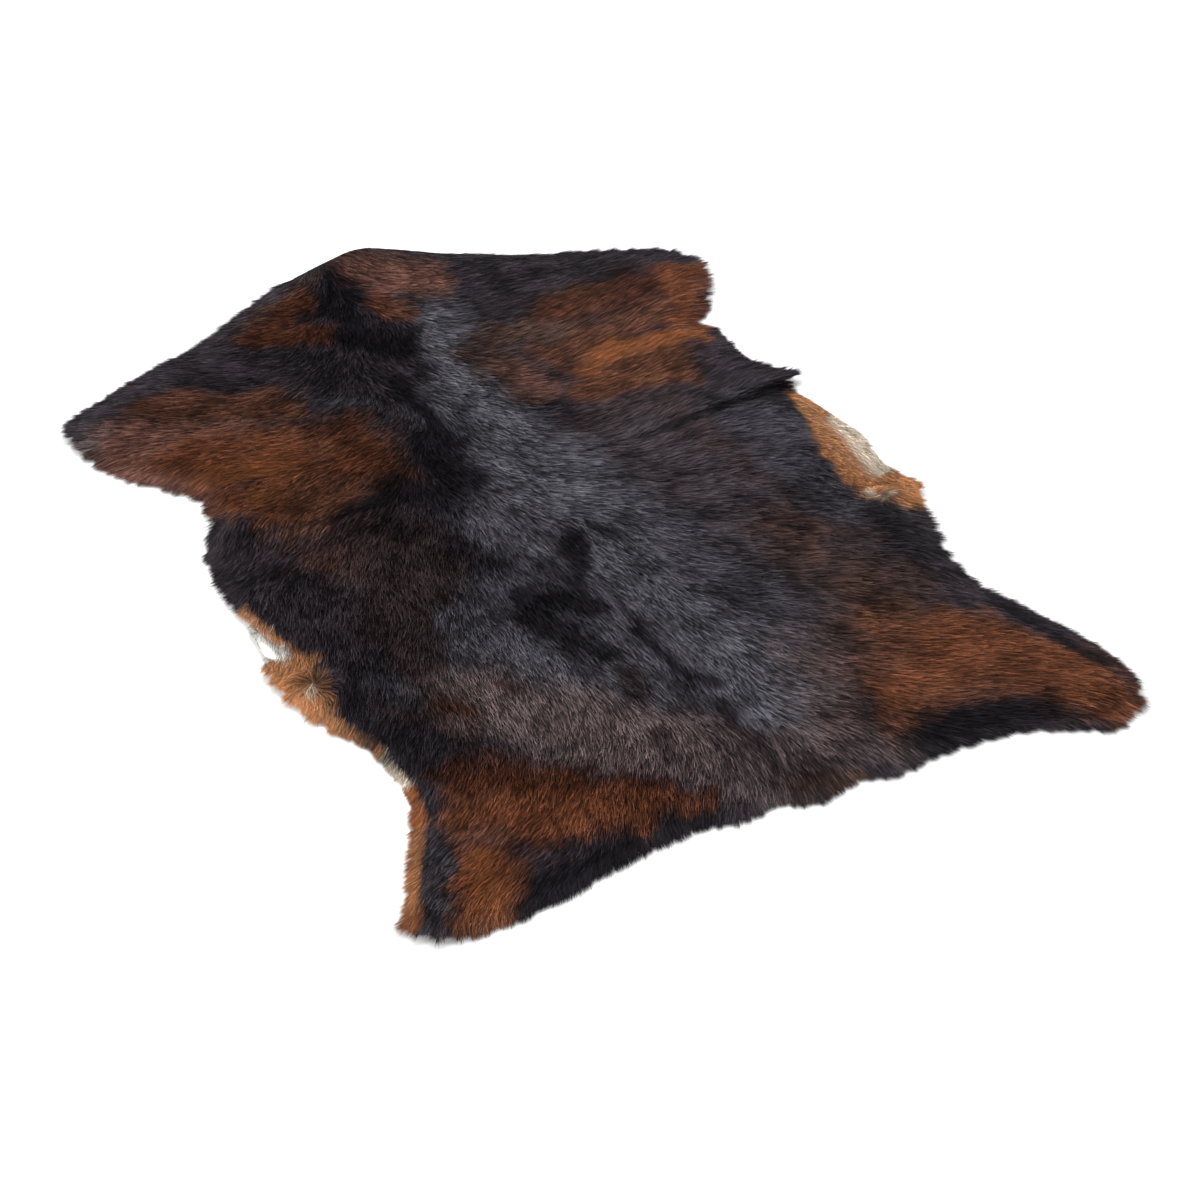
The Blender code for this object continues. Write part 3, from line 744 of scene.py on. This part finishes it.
# The lip of the pleat behind the right armpit, and the rim of the bare strip at the left belly: hair that
# comes from the left of a line, seen from its start to its end, ends there.
LIPS = [
    Lip("right pleat, inner end", 71, 69, 141, 63),
    Lip("right pleat, middle", 141, 63, 215, 69),
    Lip("right pleat, outer end", 215, 69, 309, 74),
    Lip("above the bare belly", -295, 4, -277, -56),
]
LIP_FUZZ = 1.5 * MM  # the hair reaches this far past a lip


def inside(loop, x, y):
    """Which points lie inside a closed loop."""
    hit = np.zeros(x.shape, bool)
    for (x1, y1), (x2, y2) in zip(loop, np.roll(loop, -1, 0)):
        if y1 != y2:
            across = (y1 > y) != (y2 > y)
            hit ^= across & (x < x1 + (y - y1) * (x2 - x1) / (y2 - y1))
    return hit


from_outline = np.full(grid_x.shape, np.inf)
for (x1, y1), (x2, y2) in zip(outline, np.roll(outline, -1, 0)):
    share = ((grid_x - x1) * (x2 - x1) + (grid_y - y1) * (y2 - y1)) / ((x2 - x1) ** 2 + (y2 - y1) ** 2)
    share = np.clip(share, 0, 1)
    off = np.hypot(grid_x - x1 - share * (x2 - x1), grid_y - y1 - share * (y2 - y1))
    from_outline = np.minimum(from_outline, off)
inset = np.where(inside(outline, grid_x, grid_y), from_outline, -from_outline)


def rooted_all_over(count, seed):
    """Roots spread evenly over the skin, each moved about in its own cell."""
    rng = np.random.default_rng(seed)
    cell = math.sqrt(signed_area(cut_edge) / count)
    low, high = cut_edge.min(0), cut_edge.max(0)
    x, y = np.meshgrid(np.arange(low[0], high[0], cell), np.arange(low[1], high[1], cell))
    x = x.ravel() + rng.uniform(0, cell, x.size)
    y = y.ravel() + rng.uniform(0, cell, y.size)
    kept = inside(cut_edge, x, y)
    return x[kept], y[kept]


def rooted_along_edge(count, seed):
    """Roots near the cut edge, each with its outward direction and its tuft's middle and size."""
    rng = np.random.default_rng(seed)
    sides = np.roll(cut_edge, -1, 0) - cut_edge
    lengths = np.linalg.norm(sides, axis=1)
    chosen = rng.choice(len(sides), count, p=lengths / lengths.sum())
    t = rng.uniform(0, 1, count)
    start = cut_edge[chosen]
    out = outward_normals(cut_edge)
    facing = out[chosen] * (1 - t)[:, None] + np.roll(out, -1, 0)[chosen] * t[:, None]
    point = start + sides[chosen] * t[:, None] - facing * (rng.uniform(0.1, 1, count) * EDGE_ROOTS)[:, None]
    run = np.concatenate([[0], np.cumsum(lengths)])[chosen] + t * lengths[chosen]
    number = np.floor(run / TUFT).astype(int)
    middle = (number + rng.uniform(0.2, 0.8, number.max() + 1)[number]) * TUFT
    gather = sides[chosen] / lengths[chosen][:, None] * (middle - run)[:, None]
    size = rng.uniform(0.1, 1, number.max() + 1)[number]
    kept = inside(cut_edge, point[:, 0], point[:, 1])
    return point[kept, 0], point[kept, 1], (facing[kept], gather[kept], size[kept])


def hair(x, y, tufts, usual_length, usual_breadth, seed):
    """Locks of hair from their roots: the corners, colour and brightness of each hair."""
    rng = np.random.default_rng(seed)
    count = len(x)
    way_x, way_y = at(comb_x, x, y), at(comb_y, x, y)
    past = FUZZ * rng.uniform(0, 1, count) ** 2
    if tufts is not None:
        outwards, gather, tuft_size = tufts
        grows_out = way_x * outwards[:, 0] + way_y * outwards[:, 1]
        grows_out = np.clip(grows_out * TURN_OUT_MORE + TURN_OUT, 0, TURN_OUT_MORE)
        pull = grows_out * rng.uniform(0, 1, count)
        way_x = way_x + outwards[:, 0] * pull + TUFT_GATHER * gather[:, 0] / usual_length
        way_y = way_y + outwards[:, 1] * pull + TUFT_GATHER * gather[:, 1] / usual_length
        from_middle = np.hypot(gather[:, 0], gather[:, 1]) / TUFT
        pointed = np.clip(1 - TUFT_POINT * from_middle, 0.1, 1)
        past = RAGGED * tuft_size * pointed * rng.uniform(0.4, 1, count)
    heading = np.arctan2(way_y, way_x)
    for waves in TURN_WAVES:
        heading += waves.reach * soft_noise(x, y, waves.lump, waves.seed)
    heading += rng.normal(0, LOCK_STRAY, count)
    way = np.stack([np.cos(heading), np.sin(heading)], 1)
    side = np.stack([-way[:, 1], way[:, 0]], 1)

    length = usual_length * rng.uniform(*LOCK_LENGTHS, count)
    rise = np.ones(count)
    for growth in GROWTHS:
        share = share_near(x, y, growth)
        length *= 1 + (growth.length - 1) * share
        rise *= 1 + (growth.rise - 1) * share
        past = past * (1 + (growth.ragged - 1) * share) - BARED * max(growth.ragged - 1, 0) * share
    here = at(inset, x, y)
    there = at(inset, x + way[:, 0] * length, y + way[:, 1] * length)
    for lip in LIPS:
        start, end = np.array((lip.x1, lip.y1)) * MM, np.array((lip.x2, lip.y2)) * MM
        along = (end - start) / np.linalg.norm(end - start)
        above = along[0] * (y - start[1]) - along[1] * (x - start[0])
        falls = -(along[0] * way[:, 1] - along[1] * way[:, 0])
        to_lip = (above + LIP_FUZZ) / np.maximum(falls, 1e-6)
        met_x, met_y = x + way[:, 0] * to_lip - start[0], y + way[:, 1] * to_lip - start[1]
        met = met_x * along[0] + met_y * along[1]
        crosses = (above > 0) & (to_lip > 0) & (met > 0) & (met < np.linalg.norm(end - start))
        length = np.where(crosses & (to_lip < length), np.maximum(to_lip, LEAST_AT_LIP * length), length)
    trimmed = length * np.clip((here + past) / np.maximum(here - there, 1e-6), LEAST_AT_EDGE, 1)
    length = np.where(there < -past, trimmed, length)

    slid = rng.normal(COLOUR_FROM, COLOUR_STRAY, count) * length
    colour = coat_at(x + way[:, 0] * slid, y + way[:, 1] * slid)
    level = rng.uniform(LOWEST_LOCK, 1, count)
    # A lock's brightness: painted shade by its depth, random tone and painted glints, and painted sheen.
    bright = 0.5 + PAINTED_DEPTH_SHADE * (level - (LOWEST_LOCK + 1) / 2) + rng.normal(0, CONTRAST, count)
    for waves in PAINTED_SHEEN_WAVES:
        bright += waves.reach * soft_noise(x, y, waves.lump, waves.seed)
    evenness = 1 - EVEN_TONE * np.clip((colour[:, 0] - 0.6 * colour[:, 2]) / RED_OR_PALE, 0, 1)
    bright = 0.5 + (bright - 0.5) * evenness
    roll = rng.normal(0, LOCK_ROLL, count)

    def each(low, high):
        return rng.uniform(low, high, (count, HAIRS_IN_LOCK))

    def shifted(forward, sideways):
        spot = np.stack([x, y], 1)[:, None]
        return spot + way[:, None] * forward[..., None] + side[:, None] * sideways[..., None]

    shortened = (length / usual_length)[:, None]
    root = shifted(each(-0.5, 0.5) * LOCK_STAGGER * shortened, each(-0.5, 0.5) * LOCK_ROOT)
    tip = shifted(each(*HAIR_ENDS) * length[:, None], each(-0.5, 0.5) * LOCK_TIP)
    off_skin = at(inset, root[..., 0], root[..., 1]) < CUT_BACK
    root[off_skin] = np.broadcast_to(np.stack([x, y], 1)[:, None], root.shape)[off_skin]

    ground = OFF_FLOOR + SKIN * ROOTED_AT
    levels = np.clip(level[:, None] + each(-0.1, 0.1), 0.1, 1) * rise[:, None]

    def height(spot, least, share):
        thick = np.maximum(at(pile, spot[..., 0], spot[..., 1]) - SKIN, least)
        return ground + at(lift, spot[..., 0], spot[..., 1]) + thick * share

    root3 = np.concatenate([root, height(root, 0, np.clip(levels - HAIR_SLOPE, 0, 1))[..., None]], 2)
    tip3 = np.concatenate([tip, height(tip, TIP_CLEARANCE, levels)[..., None]], 2)
    lean = roll[:, None] + rng.normal(0, HAIR_ROLL, (count, HAIRS_IN_LOCK))
    half = usual_breadth * each(*HAIR_BREADTHS) / 2
    flat_half, upright_half = (np.cos(lean) * half)[..., None], (np.sin(lean) * half)[..., None]
    across = np.concatenate([side[:, None] * flat_half, upright_half], 2)
    corners = np.stack([root3 - across, root3 + across, tip3], 2)
    uneven = rng.normal(0, HAIR_CONTRAST, (count, HAIRS_IN_LOCK)) * evenness[:, None]
    bright = np.clip(bright[:, None] + uneven, 0, 1)
    return corners.reshape(-1, 3, 3), np.repeat(colour, HAIRS_IN_LOCK, 0), bright.ravel()


# Random tone and painted glints: each hair's colour is scaled by its own brightness, up to so many stops.
STOPS = 2.2  # the lightest hairs are this many stops lighter than their coat, and the darkest as much darker
# Painted shade: each hair is painted darker towards its root, deep in the pile, and lighter at its tip.
ROOT_TONE = 0.45  # how light a hair is at its root
TIP_TONE = 2.05  # and at its tip
TIP_CURVE = 2.6  # how late along the hair it lightens
goat_hair, tree = new_material("goat guard hair")
# Straight glossy guard hair: one colour a lock, some hairs much lighter as random tone and painted glints,
# and each lighter to its tip, its darker root being painted shade deep in the pile.
coat = add_node(tree, "ShaderNodeAttribute", {"attribute_name": "coat"})
tone_and_glint = add_node(tree, "ShaderNodeAttribute", {"attribute_name": "tone_and_glint"})
along = add_node(tree, "ShaderNodeAttribute", {"attribute_name": "along"})
spread = add_node(tree, "ShaderNodeMapRange", Value=tone_and_glint.outputs["Fac"], To_Min=-STOPS, To_Max=STOPS)
tone_and_glint_gain = add_node(tree, "ShaderNodeMath", {"operation": "POWER"}, _0=2.0, _1=spread.outputs[0])
to_tip = add_node(tree, "ShaderNodeMath", {"operation": "POWER"}, _0=along.outputs["Fac"], _1=TIP_CURVE)
tip = add_node(tree, "ShaderNodeMapRange", Value=to_tip.outputs[0], To_Min=ROOT_TONE, To_Max=TIP_TONE)
gain = add_node(tree, "ShaderNodeMath", {"operation": "MULTIPLY"}, _0=tone_and_glint_gain.outputs[0], _1=tip.outputs[0])
shade = add_node(
    tree, "ShaderNodeVectorMath", {"operation": "SCALE"}, _0=coat.outputs["Color"], Scale=gain.outputs[0],
)
shader = add_node(
    tree, "ShaderNodeBsdfPrincipled", Base_Color=shade.outputs[0], Roughness=0.4, Specular_IOR_Level=0.07,
)
add_node(tree, "ShaderNodeOutputMaterial", Surface=shader.outputs[0])


def joined(name, tip_end, corners, colour, bright):
    """Joins hairs into one mesh, with their coat, brightness and place along, and a map seen from above.

    tip_end is how far towards the pale tips of full hair these hairs get; falling short of them is painted
    shade.
    """
    count = len(corners)
    mesh = bpy.data.meshes.new(name)
    mesh.vertices.add(count * 3)
    mesh.vertices.foreach_set("co", corners.astype(np.float32).ravel())
    mesh.loops.add(count * 3)
    mesh.loops.foreach_set("vertex_index", np.arange(count * 3, dtype=np.int32))
    mesh.polygons.add(count)
    mesh.polygons.foreach_set("loop_start", np.arange(count, dtype=np.int32) * 3)
    coat = mesh.attributes.new("coat", "FLOAT_COLOR", "POINT")
    rgba = np.concatenate([colour, np.ones((count, 1))], 1)
    coat.data.foreach_set("color", np.repeat(rgba, 3, 0).astype(np.float32).ravel())
    tone_and_glint = mesh.attributes.new("tone_and_glint", "FLOAT", "POINT")
    tone_and_glint.data.foreach_set("value", np.repeat(bright, 3).astype(np.float32))
    along = mesh.attributes.new("along", "FLOAT", "POINT")
    along.data.foreach_set("value", np.tile(np.array([0, 0, tip_end], np.float32), count))
    flat = corners[:, :, :2].reshape(-1, 2)
    low, high = flat.min(0), flat.max(0)
    plan = (flat - low) / (high - low).max()
    uv = mesh.uv_layers.new(name="OFBake")
    uv.data.foreach_set("uv", plan.astype(np.float32).ravel())
    mesh.update()
    mesh.validate()
    thing = bpy.data.objects.new(name, mesh)
    bpy.context.scene.collection.objects.link(thing)
    thing.data.materials.append(goat_hair)
    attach(thing, "root")
    return thing


root_x, root_y = rooted_all_over(LOCKS, ROOT_SEED)
order = np.argsort(-root_y, kind="stable")
for number, (band, chosen) in enumerate(zip(BANDS, np.array_split(order, len(BANDS)))):
    grown = hair(root_x[chosen], root_y[chosen], None, HAIR_LENGTH, HAIR_BREADTH, HAIR_SEED + number)
    joined(f"hair_of_{band}", 1, *grown)
root_x, root_y, tufts = rooted_along_edge(EDGE_LOCKS, EDGE_ROOT_SEED)
grown = hair(root_x, root_y, tufts, EDGE_LENGTH, EDGE_BREADTH, EDGE_HAIR_SEED)
joined("hair_at_the_edge", EDGE_TIP, *grown)
